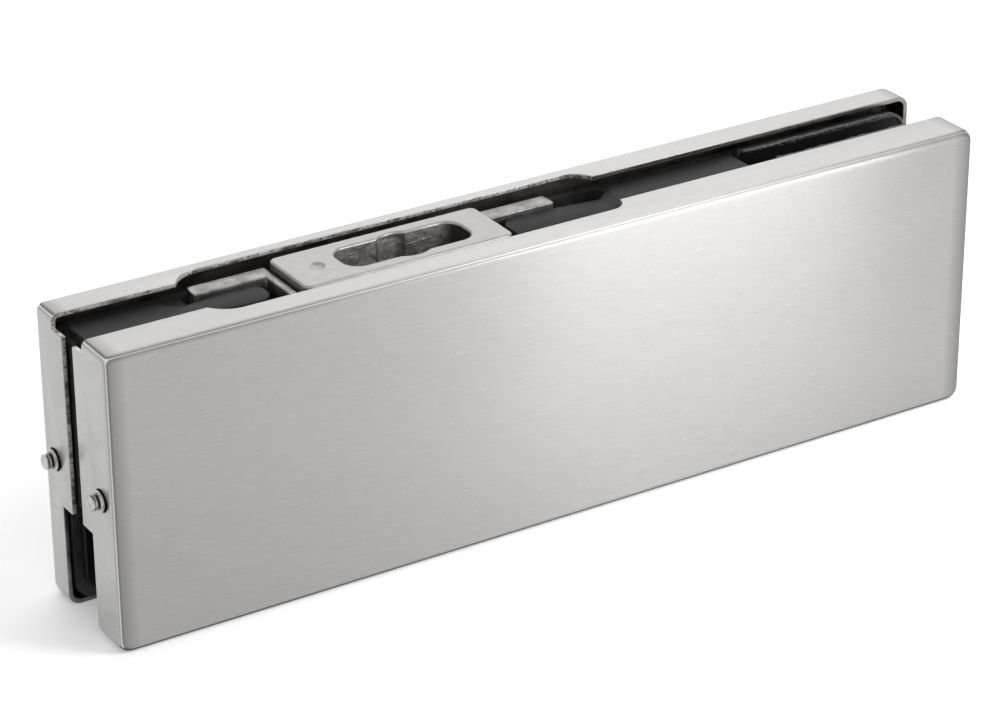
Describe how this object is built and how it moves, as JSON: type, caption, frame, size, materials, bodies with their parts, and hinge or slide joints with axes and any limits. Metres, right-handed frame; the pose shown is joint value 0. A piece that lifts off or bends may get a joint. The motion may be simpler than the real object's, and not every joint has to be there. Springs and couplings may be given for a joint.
{
  "type": "glass patch fitting",
  "caption": "Glass door patch fitting: brushed steel covers over clamp plates with gaskets, and an adjustable insert with a keyed socket for the pivot spindle.",
  "frame": {"origin": "pivot axis at the mouth of the spindle socket, level with the top of the covers", "axes": "+X along the fitting away from the pivot end, +Y through the glass from the front cover to the rear cover, +Z out of the spindle socket"},
  "size_m": [0.166, 0.024, 0.051],
  "materials": {
    "brushed_stainless": "brushed along the length",
    "coated_casting": "black coating on a casting",
    "gasket_rubber": "satin black",
    "bright_casting": "bright casting",
    "satin_insert": "satin casting",
    "dark_plastic": "satin",
    "white_plastic": "satin",
    "screw_steel": "zinc plated",
    "pin_steel": "turned and polished",
    "spring_steel": "drawn wire"
  },
  "bodies": {
    "fitting": {"front_cover": "brushed_stainless", "rear_cover": "brushed_stainless", "front_clamp_plate": "coated_casting", "rear_clamp_plate": "coated_casting", "front_gasket": "gasket_rubber", "rear_gasket": "gasket_rubber", "insert_carrier": "bright_casting", "left_filler_strip": "dark_plastic", "right_filler_strip": "dark_plastic", "glass_bush": "white_plastic", "carrier_screw_left": "screw_steel", "carrier_screw_right": "screw_steel", "clamp_screw_left": "screw_steel", "clamp_screw_middle": "screw_steel", "clamp_screw_right": "screw_steel", "clamp_nut_left": "screw_steel", "clamp_nut_middle": "screw_steel", "clamp_nut_right": "screw_steel", "front_pin_spring": "spring_steel", "rear_pin_spring": "spring_steel", "front_end_stud": "pin_steel", "rear_end_stud": "pin_steel"},
    "insert": {"spindle_insert": "satin_insert"},
    "left_screw": {"left_adjusting_screw": "screw_steel"},
    "right_screw": {"right_adjusting_screw": "screw_steel"},
    "front_pin": {"front_lock_pin": "pin_steel"},
    "rear_pin": {"rear_lock_pin": "pin_steel"}
  },
  "joints": [
    {"name": "insert_adjust", "type": "slide", "parent": "fitting", "child": "insert", "axis": [1, 0, 0], "range_m": [-0.0004, 0.0004]},
    {"name": "left_screw_adjust", "type": "slide", "parent": "fitting", "child": "left_screw", "axis": [1, 0, 0], "range_m": [-0.0004, 0.0004]},
    {"name": "right_screw_adjust", "type": "slide", "parent": "fitting", "child": "right_screw", "axis": [1, 0, 0], "range_m": [-0.0004, 0.0004]},
    {"name": "front_pin_push", "type": "slide", "parent": "fitting", "child": "front_pin", "axis": [1, 0, 0], "range_m": [0, 0.0019], "stiffness_N_per_m": 600, "springref_m": -0.002, "deforming": ["front_pin_spring"]},
    {"name": "rear_pin_push", "type": "slide", "parent": "fitting", "child": "rear_pin", "axis": [1, 0, 0], "range_m": [0, 0.0019], "stiffness_N_per_m": 600, "springref_m": -0.002, "deforming": ["rear_pin_spring"]}
  ],
  "couplings": [
    {"joint": "left_screw_adjust", "follows": "insert_adjust", "ratio": 1},
    {"joint": "right_screw_adjust", "follows": "insert_adjust", "ratio": 1}
  ]
}
